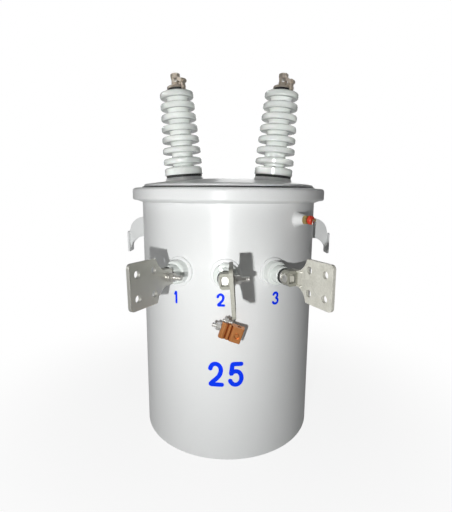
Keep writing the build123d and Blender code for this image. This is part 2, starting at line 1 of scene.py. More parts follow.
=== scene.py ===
"""Looks of the pole transformer: finishes, fasteners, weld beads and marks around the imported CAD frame."""

import json
import logging
import math
from dataclasses import dataclass
from enum import Enum
from functools import cache
from typing import Sequence

import bmesh
import bpy
from mathutils import Matrix, Vector


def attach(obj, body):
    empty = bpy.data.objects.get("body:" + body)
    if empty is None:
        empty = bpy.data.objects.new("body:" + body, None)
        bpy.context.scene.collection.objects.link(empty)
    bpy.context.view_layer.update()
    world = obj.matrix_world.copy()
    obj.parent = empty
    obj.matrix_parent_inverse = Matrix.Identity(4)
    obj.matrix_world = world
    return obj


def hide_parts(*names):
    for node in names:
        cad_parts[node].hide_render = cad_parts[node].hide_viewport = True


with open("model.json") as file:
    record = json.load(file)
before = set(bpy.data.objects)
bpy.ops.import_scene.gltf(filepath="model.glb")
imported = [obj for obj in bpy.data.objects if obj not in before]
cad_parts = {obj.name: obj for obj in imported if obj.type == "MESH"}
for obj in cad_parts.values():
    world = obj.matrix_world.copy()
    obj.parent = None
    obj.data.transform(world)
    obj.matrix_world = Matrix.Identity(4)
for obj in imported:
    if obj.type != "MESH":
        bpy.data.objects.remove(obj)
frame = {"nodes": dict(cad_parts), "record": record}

Tree, Node, Socket = bpy.types.NodeTree, bpy.types.Node, bpy.types.NodeSocket
Profile = tuple[tuple[float, float], ...]
Hexagon = tuple[float, float, float]
Ring = tuple[float, float, float, float]

LOG = logging.getLogger("transformer")
BODY = "root"
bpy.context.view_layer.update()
MM = 0.001

# Sizes of the tank and its fittings in millimetres, as in the CAD source
TANK_R = 215.9
LV_Z = 430.0
LV_AZIMUTH = 27.4
SPADE_LEAN = {"left": 1.4, "centre": 4.3, "right": 0.2}
SIDES = {"left": -1, "centre": 0, "right": 1}
HV_X = 112.5
CREST_Z = 631.7
DOME_R = 1381.0

# Looks: plain white, and how much lighter an edge is, for wear and a painted highlight along it
WHITE = (1.0, 1.0, 1.0, 1.0)
EDGE_WEAR_AND_SHEEN_LIFT = 1.5

# Small forms: ends of bolts and how far a thread runs into its nut in millimetres, merging distances in
# metres, the chamfer of a nut, and shares of a washer's height, a pitch, a ripple and a stroke
CHAMFER = 0.8
THREAD_LAP = 1.0
MERGE = 1e-6
NODE_MERGE = 2e-6
CROWN_SHARE = 0.97
CROWN_RISES = (0.0, 0.25, 0.5, 0.75, 1.0, 1.25)
RIM_SHARE = 0.2
THREAD_DEPTH = 0.3
RIPPLE_STEP = 0.75
FOLD_SHARE = 0.97

# Softened CAD nodes: faces flatter than the first are one, edges past the second are rounded, and
# edges past the third stay sharp in the shading
FLAT_ANGLE = math.radians(0.5)
EDGE_ANGLE = math.radians(32.0)
SHARP_ANGLE = math.radians(38.0)


# Nodes


def feed(tree: Tree, node: Node, feeds: dict[str | int, object]) -> None:
    """Feed a node's inputs.

    Args:
        tree: The tree that the node is in.
        node: The node.
        feeds: A socket or a plain value for each input that is fed, by its name or place.
    """
    for label, value in feeds.items():
        if isinstance(value, Socket):
            tree.links.new(value, node.inputs[label])
        else:
            node.inputs[label].default_value = value


def add_node(
    tree: Tree, kind: str, feeds: dict[str | int, object] | None = None, **fields: object
) -> Node:
    """Add a node, set its own fields and feed its inputs.

    Args:
        tree: The tree that it joins.
        kind: Its type.
        feeds: What its inputs get, as for feed.
        fields: Its own settings, which are set first.

    Returns:
        The node.
    """
    node = tree.nodes.new(kind)
    for label, value in fields.items():
        setattr(node, label, value)
    feed(tree, node, feeds or {})
    return node


def combine(tree: Tree, operation: str, first: object, second: object) -> Socket:
    """ADD or MULTIPLY two masks, each a socket or a number, and keep the result between 0 and 1."""
    node = add_node(tree, "ShaderNodeMath", {0: first, 1: second}, operation=operation, use_clamp=True)
    return node.outputs["Value"]


# Finishes


def start_group(
    name: str, inputs: dict[str, float], outputs: Sequence[str]
) -> tuple[Tree, Node]:
    """Start a shader node group with named number sockets.

    Args:
        name: The group's name.
        inputs: The default of each input, by its name.
        outputs: The name of each output.

    Returns:
        The tree and its input node.
    """
    tree = bpy.data.node_groups.new(name, "ShaderNodeTree")
    for label, default in inputs.items():
        socket = tree.interface.new_socket(label, in_out="INPUT", socket_type="NodeSocketFloat")
        socket.default_value = default
    for label in outputs:
        tree.interface.new_socket(label, in_out="OUTPUT", socket_type="NodeSocketFloat")
    return tree, tree.nodes.new("NodeGroupInput")


@cache
def clouds_group() -> Tree:
    """Soft blotches and fine specks over the object's own coordinates, as masks.

    Returns:
        A group with the inputs Scale, Specks and the outputs Blotch, Speck.
    """
    tree, entry = start_group("clouds", {"Scale": 8.0, "Specks": 300.0}, ("Blotch", "Speck"))
    place = add_node(tree, "ShaderNodeTexCoord").outputs["Object"]
    masks = {}
    for label, scale, detail in (("Blotch", "Scale", 4.0), ("Speck", "Specks", 2.0)):
        noise = add_node(
            tree, "ShaderNodeTexNoise", {"Vector": place, "Scale": entry.outputs[scale], "Detail": detail}
        )
        spread = add_node(
            tree, "ShaderNodeMapRange", {"Value": noise.outputs["Fac"], "From Min": 0.3, "From Max": 0.7}
        )
        masks[label] = spread.outputs["Result"]
    add_node(tree, "NodeGroupOutput", masks)
    return tree


@cache
def grain_group() -> Tree:
    """Fine drawn lines along the vertical, for rolled, brushed and turned metal.

    Returns:
        A group with the inputs Along and Across, and the output Line.
    """
    tree, entry = start_group("grain", {"Along": 20.0, "Across": 900.0}, ("Line",))
    along, aside = entry.outputs["Along"], entry.outputs["Across"]
    scale = add_node(tree, "ShaderNodeCombineXYZ", {"X": aside, "Y": aside, "Z": along})
    place = add_node(tree, "ShaderNodeTexCoord")
    stretch = add_node(
        tree, "ShaderNodeVectorMath", {0: place.outputs["Object"], 1: scale.outputs["Vector"]},
        operation="MULTIPLY",
    )
    noise = add_node(
        tree, "ShaderNodeTexNoise", {"Vector": stretch.outputs["Vector"], "Scale": 1.0, "Detail": 3.0}
    )
    add_node(tree, "NodeGroupOutput", {"Line": noise.outputs["Fac"]})
    return tree


@cache
def edge_wear_and_sheen_group() -> Tree:
    """A mask that is high on outer edges and low in creases, broken up by noise, for wear and a painted
    highlight along the edges.

    Returns:
        A group with the input Reach and the output Edge.
    """
    tree, entry = start_group("wear_and_sheen", {"Reach": 0.5}, ("Edge",))
    place = add_node(tree, "ShaderNodeTexCoord")
    noise = add_node(tree, "ShaderNodeTexNoise", {"Vector": place.outputs["Object"], "Scale": 160.0})
    shape = add_node(tree, "ShaderNodeNewGeometry")
    edge = add_node(
        tree, "ShaderNodeMapRange", {"Value": shape.outputs["Pointiness"], "From Min": 0.5, "From Max": 0.6}
    )
    broken = combine(tree, "MULTIPLY", edge.outputs["Result"], noise.outputs["Fac"])
    add_node(tree, "NodeGroupOutput", {"Edge": combine(tree, "MULTIPLY", broken, entry.outputs["Reach"])})
    return tree


@dataclass(frozen=True)
class Finish:
    """A surface's look: two tones, their roughness, metal share, and the fine relief."""

    name: str
    tone: tuple[float, float, float]
    shade: tuple[float, float, float]
    rough: tuple[float, float]
    metallic: float = 0.0
    blotch_scale: float = 9.0
    speck_scale: float = 350.0
    speck_share: float = 0.25
    relief: float = 0.02
    relief_depth: float = 0.0003
    coat: float = 0.0
    coat_rough: float = 0.05
    grain: float = 0.0
    wear_and_sheen: float = 0.0
    specular: float = 0.5
    slot: str = ""

    def build(self) -> bpy.types.Material:
        """Take the material that the frame or an earlier call made under this name, or else make it."""
        found = bpy.data.materials.get(self.name)
        if found:
            return found
        material = bpy.data.materials.new(self.name)
        material.use_nodes = True
        tree = material.node_tree
        source = self.mask(tree)
        colour = add_node(
            tree, "ShaderNodeMix", {"Factor": source, "A": (*self.tone, 1.0), "B": (*self.shade, 1.0)},
            data_type="RGBA",
        )
        smooth, matt = self.rough
        rough = add_node(tree, "ShaderNodeMapRange", {"Value": source, "To Min": smooth, "To Max": matt})
        bump = add_node(
            tree, "ShaderNodeBump",
            {"Height": source, "Strength": self.relief, "Distance": self.relief_depth},
        )
        feed(tree, tree.nodes["Principled BSDF"], {
            "Base Color": self.with_wear_and_sheen(tree, colour.outputs["Result"]),
            "Roughness": rough.outputs["Result"],
            "Normal": bump.outputs["Normal"],
            "Metallic": self.metallic,
            "Specular IOR Level": self.specular,
            "Coat Weight": self.coat,
            "Coat Roughness": self.coat_rough,
        })
        return material

    def mask(self, tree: Tree) -> Socket:
        """The pattern that every channel of the finish follows.

        Args:
            tree: The material's tree.

        Returns:
            The socket with the pattern, from 0 to 1.
        """
        clouds = add_node(
            tree, "ShaderNodeGroup", {"Scale": self.blotch_scale, "Specks": self.speck_scale},
            node_tree=clouds_group(),
        )
        mask = add_node(tree, "ShaderNodeMix", {
            "Factor": self.speck_share, "A": clouds.outputs["Blotch"], "B": clouds.outputs["Speck"],
        })
        if not self.grain:
            return mask.outputs["Result"]
        grain = add_node(tree, "ShaderNodeGroup", node_tree=grain_group())
        blend = add_node(tree, "ShaderNodeMix", {
            "Factor": self.grain, "A": mask.outputs["Result"], "B": grain.outputs["Line"],
        })
        return blend.outputs["Result"]

    def with_wear_and_sheen(self, tree: Tree, colour: Socket) -> Socket:
        """Lighten the colour along outer edges, where the finish has any: wear together with a painted
        highlight.

        Args:
            tree: The material's tree.
            colour: The colour before the edges are lightened.

        Returns:
            The socket with the final colour.
        """
        if not self.wear_and_sheen:
            return colour
        # The lighter edge stands for worn metal and for a painted highlight on the edge.
        wear_and_sheen = add_node(tree, "ShaderNodeGroup", {"Reach": self.wear_and_sheen}, node_tree=edge_wear_and_sheen_group())
        light = (*(min(1.0, EDGE_WEAR_AND_SHEEN_LIFT * level) for level in self.tone), 1.0)
        lighter = add_node(
            tree, "ShaderNodeMix", {"Factor": wear_and_sheen.outputs["Edge"], "A": colour, "B": light},
            data_type="RGBA",
        )
        return lighter.outputs["Result"]


# TINNED, PLATED, BRONZE and CORE are named as plain materials that the frame brings, so those are what
# shows. The values written for them here would show only under names of their own.
PAINT = Finish(
    "gloss_tank_paint", (0.83, 0.84, 0.835), (0.80, 0.815, 0.81), (0.3, 0.36), blotch_scale=3.0,
    speck_scale=420.0, speck_share=0.5, relief=0.06, relief_depth=0.0004, coat=0.12, coat_rough=0.24,
    slot="tank_paint", specular=0.3,
)
PORCELAIN = Finish(
    "glazed_porcelain", (0.79, 0.82, 0.79), (0.74, 0.785, 0.75), (0.08, 0.14), blotch_scale=14.0,
    speck_scale=500.0, speck_share=0.35, relief=0.03, coat=0.8, coat_rough=0.04, slot="porcelain",
)
RUBBER = Finish(
    "gasket_rubber", (0.012, 0.013, 0.013), (0.03, 0.03, 0.03), (0.5, 0.7), speck_scale=900.0,
    relief=0.2, slot="black_rubber",
)
TINNED = Finish(
    "tinned_plate", (0.34, 0.34, 0.275), (0.68, 0.675, 0.595), (0.4, 0.58), metallic=0.15,
    blotch_scale=55.0, speck_scale=260.0, speck_share=0.45, relief=0.25, wear_and_sheen=0.9, slot="tinned_plate",
)
# A lighter copy of the tinned plate for the right spade, which faces the key lamp: painted light.
LIT_TIN = Finish(
    "tin_painted_light", (0.50, 0.495, 0.43), (0.76, 0.75, 0.68), (0.38, 0.54), metallic=0.15,
    blotch_scale=50.0, speck_scale=260.0, speck_share=0.45, relief=0.25, wear_and_sheen=0.9, slot="tinned_plate",
)
# A darker copy of the tinned plate for the centre spade and the jaws: painted shade.
SHADED_TIN = Finish(
    "tin_painted_shade", (0.20, 0.20, 0.165), (0.36, 0.355, 0.31), (0.45, 0.62), metallic=0.15,
    blotch_scale=30.0, speck_scale=420.0, speck_share=0.45, relief=0.25, wear_and_sheen=0.9, slot="tinned_plate",
)
PLATED = Finish(
    "plated_steel", (0.42, 0.405, 0.37), (0.22, 0.21, 0.185), (0.3, 0.46), metallic=0.95,
    blotch_scale=60.0, speck_scale=900.0, relief=0.1, wear_and_sheen=0.5, slot="plated_steel",
)
BRONZE = Finish(
    "tinned_bronze", (0.40, 0.33, 0.29), (0.07, 0.048, 0.04), (0.14, 0.3), metallic=0.95,
    blotch_scale=120.0, speck_scale=700.0, speck_share=0.4, relief=0.3, wear_and_sheen=0.8, slot="tinned_bronze",
)
COPPER = Finish(
    "bright_copper", (0.68, 0.29, 0.1), (0.34, 0.115, 0.034), (0.24, 0.4), metallic=0.85,
    blotch_scale=50.0, speck_scale=800.0, grain=0.45, relief=0.12, wear_and_sheen=0.5, slot="copper",
)
BRASS = Finish(
    "turned_brass", (0.62, 0.48, 0.2), (0.44, 0.32, 0.12), (0.2, 0.38), metallic=0.95,
    blotch_scale=80.0, relief=0.08, wear_and_sheen=0.5, slot="brass",
)
RED = Finish(
    "red_moulding", (0.75, 0.055, 0.02), (0.6, 0.035, 0.012), (0.3, 0.42), blotch_scale=60.0,
    relief=0.08, slot="red_cap",
)
CORE = Finish(
    "core_steel", (0.1, 0.1, 0.1), (0.16, 0.15, 0.14), (0.5, 0.7), metallic=0.5, slot="core_steel",
)
INK = Finish(
    "blue_ink", (0.0, 0.045, 1.0), (0.0, 0.04, 0.92), (0.5, 0.6), blotch_scale=40.0, relief=0.03,
    specular=0.1,
)

SLOT_FINISH = {
    finish.slot: finish
    for finish in (PAINT, PORCELAIN, RUBBER, TINNED, PLATED, BRONZE, COPPER, BRASS, RED, CORE)
}
# The right spade wears a lighter copy of the tin and the centre spade a darker one: painted light and
# painted shade.
SPADE_FINISH = {"left": TINNED, "centre": SHADED_TIN, "right": LIT_TIN}


def dress_frame() -> None:
    """Give every CAD node the finish of its material slot."""
    slots = {entry["node"]: entry["material_slot"] for entry in frame["record"]["subparts"]}
    for name, node in frame["nodes"].items():
        node.data.materials.clear()
        node.data.materials.append(SLOT_FINISH[slots[name]].build())
        LOG.info("finish %s on %s", slots[name], name)


# Places, in millimetres


def polar(radius: float, angle: float, height: float) -> Vector:
    """The point at a radius and an angle in radians about Z, and at a height."""
    return Vector((radius * math.cos(angle), radius * math.sin(angle), height))


def on_wall(azimuth: float, height: float, lean: float = 0.0) -> Matrix:
    """The frame of a fitting on the wall: across, up, and out from the tank's axis.

    Args:
        azimuth: Degrees from the front, to the right.
        height: Height above the floor.
        lean: Turn about the outward axis in degrees.

    Returns:
        The matrix from that frame to the part's.
    """
    turn = Matrix.Rotation(math.radians(azimuth), 4, "Z")
    lay = Matrix.Rotation(math.pi / 2, 4, "X")
    roll = Matrix.Rotation(math.radians(lean), 4, "Z")
    return turn @ Matrix.Translation((0, 0, height)) @ lay @ roll


def on_dome(side: int) -> Matrix:
    """The frame of a bushing on the lid's dome, square to it."""
    tilt = math.asin(HV_X / DOME_R)
    height = CREST_Z - DOME_R * (1 - math.cos(tilt))
    return Matrix.Translation((side * HV_X, 0, height)) @ Matrix.Rotation(side * tilt, 4, "Y")


def across(out: float) -> Matrix:
    """A frame whose Z runs across a fitting, at a distance along its own Z."""
    return Matrix.Translation((0, 0, out)) @ Matrix.Rotation(math.pi / 2, 4, "Y")


# Geometry Nodes


def place_data(name: str, data: bpy.types.ID) -> bpy.types.Object:
    """Put a mesh, lamp or camera into the scene as a new object."""
    made = bpy.data.objects.new(name, data)
    bpy.context.scene.collection.objects.link(made)
    return made


def start_tree(
    name: str, sizes: Sequence[str], counts: Sequence[str] = ()
) -> tuple[Tree, Node]:
    """Start a Geometry Nodes tree with named inputs for its sizes and counts.

    Args:
        name: The tree's name.
        sizes: Names of its float inputs.
        counts: Names of its integer inputs.

    Returns:
        The tree and its input node.
    """
    tree = bpy.data.node_groups.new(name, "GeometryNodeTree")
    tree.interface.new_socket("Geometry", in_out="INPUT", socket_type="NodeSocketGeometry")
    for label in sizes:
        tree.interface.new_socket(label, in_out="INPUT", socket_type="NodeSocketFloat")
    for label in counts:
        tree.interface.new_socket(label, in_out="INPUT", socket_type="NodeSocketInt")
    tree.interface.new_socket("Material", in_out="INPUT", socket_type="NodeSocketMaterial")
    tree.interface.new_socket("Geometry", in_out="OUTPUT", socket_type="NodeSocketGeometry")
    return tree, tree.nodes.new("NodeGroupInput")


def end_tree(tree: Tree, entry: Node, shape: Socket) -> None:
    """Finish a tree with Realize Instances, smooth shading and its material.

    Args:
        tree: The tree.
        entry: Its input node.
        shape: The socket with the geometry made so far.
    """
    realize = add_node(tree, "GeometryNodeRealizeInstances", {"Geometry": shape})
    smooth = add_node(tree, "GeometryNodeSetShadeSmooth", {"Geometry": realize.outputs["Geometry"]})
    dress = add_node(
        tree, "GeometryNodeSetMaterial",
        {"Geometry": smooth.outputs["Geometry"], "Material": entry.outputs["Material"]},
    )
    add_node(tree, "NodeGroupOutput", {"Geometry": dress.outputs["Geometry"]})


def scatter(
    tree: Tree, points: Socket, along: Socket,
    shape: Socket, scale: Socket | None = None,
) -> Socket:
    """Stand a shape on every point, turned to a direction.

    Args:
        tree: The tree to work in.
        points: The points.
        along: The direction that the shape's X takes at each point.
        shape: The shape.
        scale: Its scale at each point, where that varies.

    Returns:
        The socket with the instances.
    """
    align = add_node(tree, "FunctionNodeAlignRotationToVector", {"Vector": along}, axis="X")
    feeds = {"Points": points, "Instance": shape, "Rotation": align.outputs["Rotation"]}
    if scale is not None:
        feeds["Scale"] = scale
    return add_node(tree, "GeometryNodeInstanceOnPoints", feeds).outputs["Instances"]


@cache
def thread_tree() -> Tree:
    """A helical ridge along Z from the origin, for a screw thread.

    Returns:
        A tree with the inputs Radius, Pitch, Length and Depth.
    """
    tree, entry = start_tree("thread", ("Radius", "Pitch", "Length", "Depth"))
    size = entry.outputs
    turns = add_node(tree, "ShaderNodeMath", {0: size["Length"], 1: size["Pitch"]}, operation="DIVIDE")
    helix = add_node(tree, "GeometryNodeCurveSpiral", {
        "Resolution": 24, "Rotations": turns.outputs["Value"], "Start Radius": size["Radius"],
        "End Radius": size["Radius"], "Height": size["Length"],
    })
    ridge = add_node(tree, "GeometryNodeCurvePrimitiveCircle", {"Resolution": 5, "Radius": size["Depth"]})
    sweep = add_node(tree, "GeometryNodeCurveToMesh", {
        "Curve": helix.outputs["Curve"], "Profile Curve": ridge.outputs["Curve"], "Fill Caps": True,
    })
    end_tree(tree, entry, sweep.outputs["Mesh"])
    return tree


@cache
def bead_tree() -> Tree:
    """A row of overlapping ripples along a path, for a weld bead.

    Returns:
        A tree with the inputs Spacing, Size and Seed, over a mesh of edges.
    """
    tree, entry = start_tree("bead", ("Spacing", "Size"), ("Seed",))
    path = add_node(tree, "GeometryNodeMeshToCurve", {"Mesh": entry.outputs["Geometry"]})
    steps = add_node(
        tree, "GeometryNodeResampleCurve",
        {"Curve": path.outputs["Curve"], "Length": entry.outputs["Spacing"]}, mode="LENGTH",
    )
    tangent = add_node(tree, "GeometryNodeInputTangent")
    ripple = add_node(
        tree, "GeometryNodeMeshIcoSphere", {"Subdivisions": 2, "Radius": entry.outputs["Size"]}
    )
    vary = add_node(
        tree, "FunctionNodeRandomValue",
        {"Min": (0.85, 0.85, 0.8), "Max": (1.05, 1.12, 1.1), "Seed": entry.outputs["Seed"]},
        data_type="FLOAT_VECTOR",
    )
    end_tree(tree, entry, scatter(
        tree, steps.outputs["Curve"], tangent.outputs["Tangent"], ripple.outputs["Mesh"],
        vary.outputs["Value"],
    ))
    return tree


@cache
def ridge_tree() -> Tree:
    """A ring of ridges along Z, for a knurled or fluted grip.

    Returns:
        A tree with the inputs Radius, Length, Width, Depth and Count.
    """
    tree, entry = start_tree("ridges", ("Radius", "Length", "Width", "Depth"), ("Count",))
    size = entry.outputs
    ring = add_node(tree, "GeometryNodeMeshCircle", {"Vertices": size["Count"], "Radius": size["Radius"]})
    span = add_node(
        tree, "ShaderNodeCombineXYZ", {"X": size["Depth"], "Y": size["Width"], "Z": size["Length"]}
    )
    ridge = add_node(tree, "GeometryNodeMeshCube", {"Size": span.outputs["Vector"]})
    spot = add_node(tree, "GeometryNodeInputPosition")
    end_tree(tree, entry, scatter(
        tree, ring.outputs["Mesh"], spot.outputs["Position"], ridge.outputs["Mesh"]
    ))
    return tree


def grow(
    tree: Tree, values: dict[str, float], path: Sequence[Vector] = (), closed: bool = False
) -> bpy.types.Mesh:
    """Run a Geometry Nodes tree once and keep its result as a plain mesh.

    Args:
        tree: The tree to run.
        values: The values of its named inputs.
        path: Points of the path that it follows, where it follows one.
        closed: Whether the path closes on itself.

    Returns:
        The mesh that the tree makes.
    """
    seed = bpy.data.meshes.new("seed")
    edges = [(index, index + 1) for index in range(len(path) - 1)]
    if closed:
        edges.append((len(path) - 1, 0))
    seed.from_pydata([tuple(point) for point in path], edges, [])
    carrier = place_data("carrier", seed)
    modifier = carrier.modifiers.new("grow", "NODES")
    modifier.node_group = tree
    for socket in tree.interface.items_tree:
        if socket.in_out == "INPUT" and socket.name in values:
            modifier[socket.identifier] = values[socket.name]
    graph = bpy.context.evaluated_depsgraph_get()
    mesh = bpy.data.meshes.new_from_object(carrier.evaluated_get(graph))
    bpy.data.objects.remove(carrier)
    return mesh


# Mesh forms, in millimetres


def dressed_mesh(name: str, mesh: bmesh.types.BMesh, finish: Finish, sharp: float) -> bpy.types.Mesh:
    """Turn a mesh under construction into a shaded one in its finish.

    Args:
        name: The new mesh's name.
        mesh: The mesh under construction, which is freed.
        finish: The finish that it wears.
        sharp: The angle in radians past which an edge stays sharp.

    Returns:
        The new mesh.
    """
    bmesh.ops.recalc_face_normals(mesh, faces=mesh.faces[:])
    data = bpy.data.meshes.new(name)
    mesh.to_mesh(data)
    mesh.free()
    data.materials.clear()
    data.materials.append(finish.build())
    data.shade_smooth()
    data.set_sharp_from_angle(angle=sharp)
    return data


class Form:
    """A mesh under construction, drawn in a fitting's own frame and placed at the end."""

    def __init__(self, place: Matrix) -> None:
        """Start an empty mesh.

        Args:
            place: The matrix from the fitting's frame to the part's.
        """
        self.place = place
        self.mesh = bmesh.new()

    def rows(self, rows: Sequence[Sequence[Vector]]) -> None:
        """Skin rows of points, each closed on itself and as long as the next, and cap both ends.

        Args:
            rows: The rows of points, from the first ring to the last.
        """
        made = [[self.mesh.verts.new(point) for point in row] for row in rows]
        width = len(made[0])
        for lower, upper in zip(made, made[1:]):
            for index in range(width):
                after = (index + 1) % width
                self.mesh.faces.new((lower[index], lower[after], upper[after], upper[index]))
        self.mesh.faces.new(tuple(reversed(made[0])))
        self.mesh.faces.new(tuple(made[-1]))

    def turned(
        self, profile: Sequence[tuple[float, float]], shift: Matrix = Matrix(), segments: int = 48
    ) -> None:
        """Turn a profile of (radius, height) about Z, capped at both ends.

        Args:
            profile: The profile from its lowest end up.
            shift: Where the turned form sits in the fitting's frame.
            segments: The number of segments round.
        """
        steps = [2 * math.pi * index / segments for index in range(segments)]
        self.rows([
            [shift @ polar(radius, step, height) for step in steps] for radius, height in profile
        ])

    def hexagon(self, across_flats: float, low: float, high: float, shift: Matrix = Matrix()) -> None:
        """A hexagon bar with turned chamfers at both ends, as on a nut.

        Args:
            across_flats: The width across the flats.
            low: Its lower end.
            high: Its upper end.
            shift: Where it sits in the fitting's frame.
        """
        inner = across_flats / 2
        segments = 72
        sector = math.pi / 3
        heights = [low + rise for rise in CROWN_RISES] + [high - rise for rise in reversed(CROWN_RISES)]
        rows = []
        for height in heights:
            cone = CROWN_SHARE * inner + math.sqrt(3) * min(height - low, high - height)
            row = []
            for index in range(segments):
                angle = 2 * math.pi * index / segments
                flat = inner / math.cos((angle % sector) - sector / 2)
                row.append(shift @ polar(min(flat, cone), angle, height))
            rows.append(row)
        self.rows(rows)

    def washer(self, inner: float, outer: float, low: float, high: float, shift: Matrix = Matrix()) -> None:
        """A flat ring with softly rounded rims.

        Args:
            inner: Its hole's radius.
            outer: Its outer radius.
            low: Its lower face.
            high: Its upper face.
            shift: Where it sits in the fitting's frame.
        """
        soft = RIM_SHARE * (high - low)
        self.ring(
            [(inner, low), (outer - soft, low), (outer, low + soft), (outer, high - soft),
             (outer - soft, high), (inner, high)],
            shift,
        )

    def ring(
        self, section: Sequence[tuple[float, float]], shift: Matrix = Matrix(), segments: int = 64
    ) -> None:
        """Turn a closed section of (radius, height) about Z.

        Args:
            section: The section's corners in order, anticlockwise.
            shift: Where the ring sits in the fitting's frame.
            segments: The number of segments round.
        """
        made = []
        for index in range(segments):
            angle = 2 * math.pi * index / segments
            made.append([
                self.mesh.verts.new(shift @ polar(radius, angle, height)) for radius, height in section
            ])
        size = len(section)
        for index in range(segments):
            here, after = made[index], made[(index + 1) % segments]
            for corner in range(size):
                other = (corner + 1) % size
                self.mesh.faces.new((here[corner], after[corner], after[other], here[other]))

    def spring_washer(self, inner: float, outer: float, low: float, rise: float) -> None:
        """A split ring whose ends stand apart.

        Args:
            inner: Its hole's radius.
            outer: Its outer radius.
            low: Its lowest point.
            rise: Its thickness, and half as much again between its ends.
        """
        rows = []
        steps = 60
        gap = math.radians(7)
        for index in range(steps + 1):
            angle = gap + (2 * math.pi - 2 * gap) * index / steps
            lift = low + 0.5 * rise * index / steps
            ends = ((inner, lift), (outer, lift), (outer, lift + rise), (inner, lift + rise))
            rows.append([polar(radius, angle, height) for radius, height in ends])
        self.rows(rows)

    def absorb(self, mesh: bpy.types.Mesh, shift: Matrix = Matrix()) -> None:
        """Add a finished mesh at its place in the fitting's frame, and remove it."""
        mesh.transform(shift)
        self.mesh.from_mesh(mesh)
        bpy.data.meshes.remove(mesh)

    def thread(self, radius: float, pitch: float, low: float, high: float, shift: Matrix = Matrix()) -> None:
        """A helical thread ridge between two heights.

        Args:
            radius: The radius of the bar under it.
            pitch: The rise of a turn.
            low: Where it starts.
            high: Where it ends.
            shift: Where its axis sits in the fitting's frame.
        """
        values = {"Radius": radius, "Pitch": pitch, "Length": high - low, "Depth": THREAD_DEPTH * pitch}
        self.absorb(grow(thread_tree(), values), shift @ Matrix.Translation((0, 0, low)))

    def ridges(
        self, radius: float, low: float, high: float, width: float, depth: float, count: int,
        shift: Matrix = Matrix(),
    ) -> None:
        """A ring of ridges along the axis.

        Args:
            radius: The radius of the grip under them.
            low: Their lower end.
            high: Their upper end.
            width: The width of a ridge.
            depth: How far a ridge stands in and out of the grip together.
            count: How many there are.
            shift: Where the axis sits in the fitting's frame.
        """
        values = {"Radius": radius, "Length": high - low, "Width": width, "Depth": depth, "Count": count}
        middle = Matrix.Translation((0, 0, (low + high) / 2))
        self.absorb(grow(ridge_tree(), values), shift @ middle)

    def bead(self, path: Sequence[Vector], size: float, seed: int, closed: bool = False) -> None:
        """A weld bead along a path.

        Args:
            path: The path's points.
            size: The radius of a ripple.
            seed: The seed of its irregularity.
            closed: Whether the path closes on itself.
        """
        values = {"Spacing": RIPPLE_STEP * size, "Size": size, "Seed": seed}
        self.absorb(grow(bead_tree(), values, path, closed))

    def finish(
        self, name: str, finish: Finish, replaces: Sequence[str] = (), sharp: float = 35.0
    ) -> None:
        """Place the mesh, dress it, hang it under the body and hide the CAD nodes that it stands for.

        Args:
            name: The piece's name.
            finish: Its finish.
            replaces: The CAD nodes that it stands for.
            sharp: The angle in degrees past which an edge stays sharp.
        """
        self.mesh.transform(Matrix.Scale(MM, 4) @ self.place)
        bmesh.ops.remove_doubles(self.mesh, verts=self.mesh.verts[:], dist=MERGE)
        piece = place_data(name, dressed_mesh(name, self.mesh, finish, math.radians(sharp)))
        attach(piece, BODY)
        if replaces:
            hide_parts(*replaces)
        LOG.info("piece %s: %d faces", name, len(piece.data.polygons))


def soften_node(name: str, soft: float, finish: Finish | None = None) -> None:
    """Stand a copy of a CAD node, with small rounds along its edges, in the node's place.

    Args:
        name: The node, and the start of the copy's name.
        soft: The width of the rounds in millimetres.
        finish: The finish that it wears, where that isn't its slot's own.
    """
    source = frame["nodes"][name]
    slot = next(entry["material_slot"] for entry in frame["record"]["subparts"] if entry["node"] == name)
    mesh = bmesh.new()
    mesh.from_mesh(source.data)
    bmesh.ops.remove_doubles(mesh, verts=mesh.verts[:], dist=NODE_MERGE)
    bmesh.ops.dissolve_limit(
        mesh, angle_limit=FLAT_ANGLE, verts=mesh.verts[:], edges=mesh.edges[:], use_dissolve_boundaries=False
    )
    sharp = [
        edge for edge in mesh.edges
        if len(edge.link_faces) == 2 and edge.calc_face_angle(0.0) > EDGE_ANGLE
    ]
    bmesh.ops.bevel(
        mesh, geom=sharp, offset=soft * MM, segments=2, profile=0.6, affect="EDGES", clamp_overlap=True
    )
    data = dressed_mesh(name + "_soft", mesh, finish or SLOT_FINISH[slot], SHARP_ANGLE)
    piece = place_data(name + "_soft", data)
    weighted = piece.modifiers.new("flat_faces", "WEIGHTED_NORMAL")
    weighted.keep_sharp = True
    depsgraph = bpy.context.evaluated_depsgraph_get()
    shaded = bpy.data.meshes.new_from_object(piece.evaluated_get(depsgraph), depsgraph=depsgraph)
    piece.modifiers.clear()
    piece.data = shaded
    bpy.data.meshes.remove(data)
    shaded.name = name + "_soft"
    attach(piece, BODY)
    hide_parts(name)
    LOG.info("piece %s: %d faces", piece.name, len(shaded.polygons))


# Sub-assemblies. Hexagons are (across flats, low, high), washers (inner, outer, low, high), threads
# (radius, pitch, low, high), knurls (radius, low, high, width, depth, count) and profiles rows of
# (radius, height), in millimetres


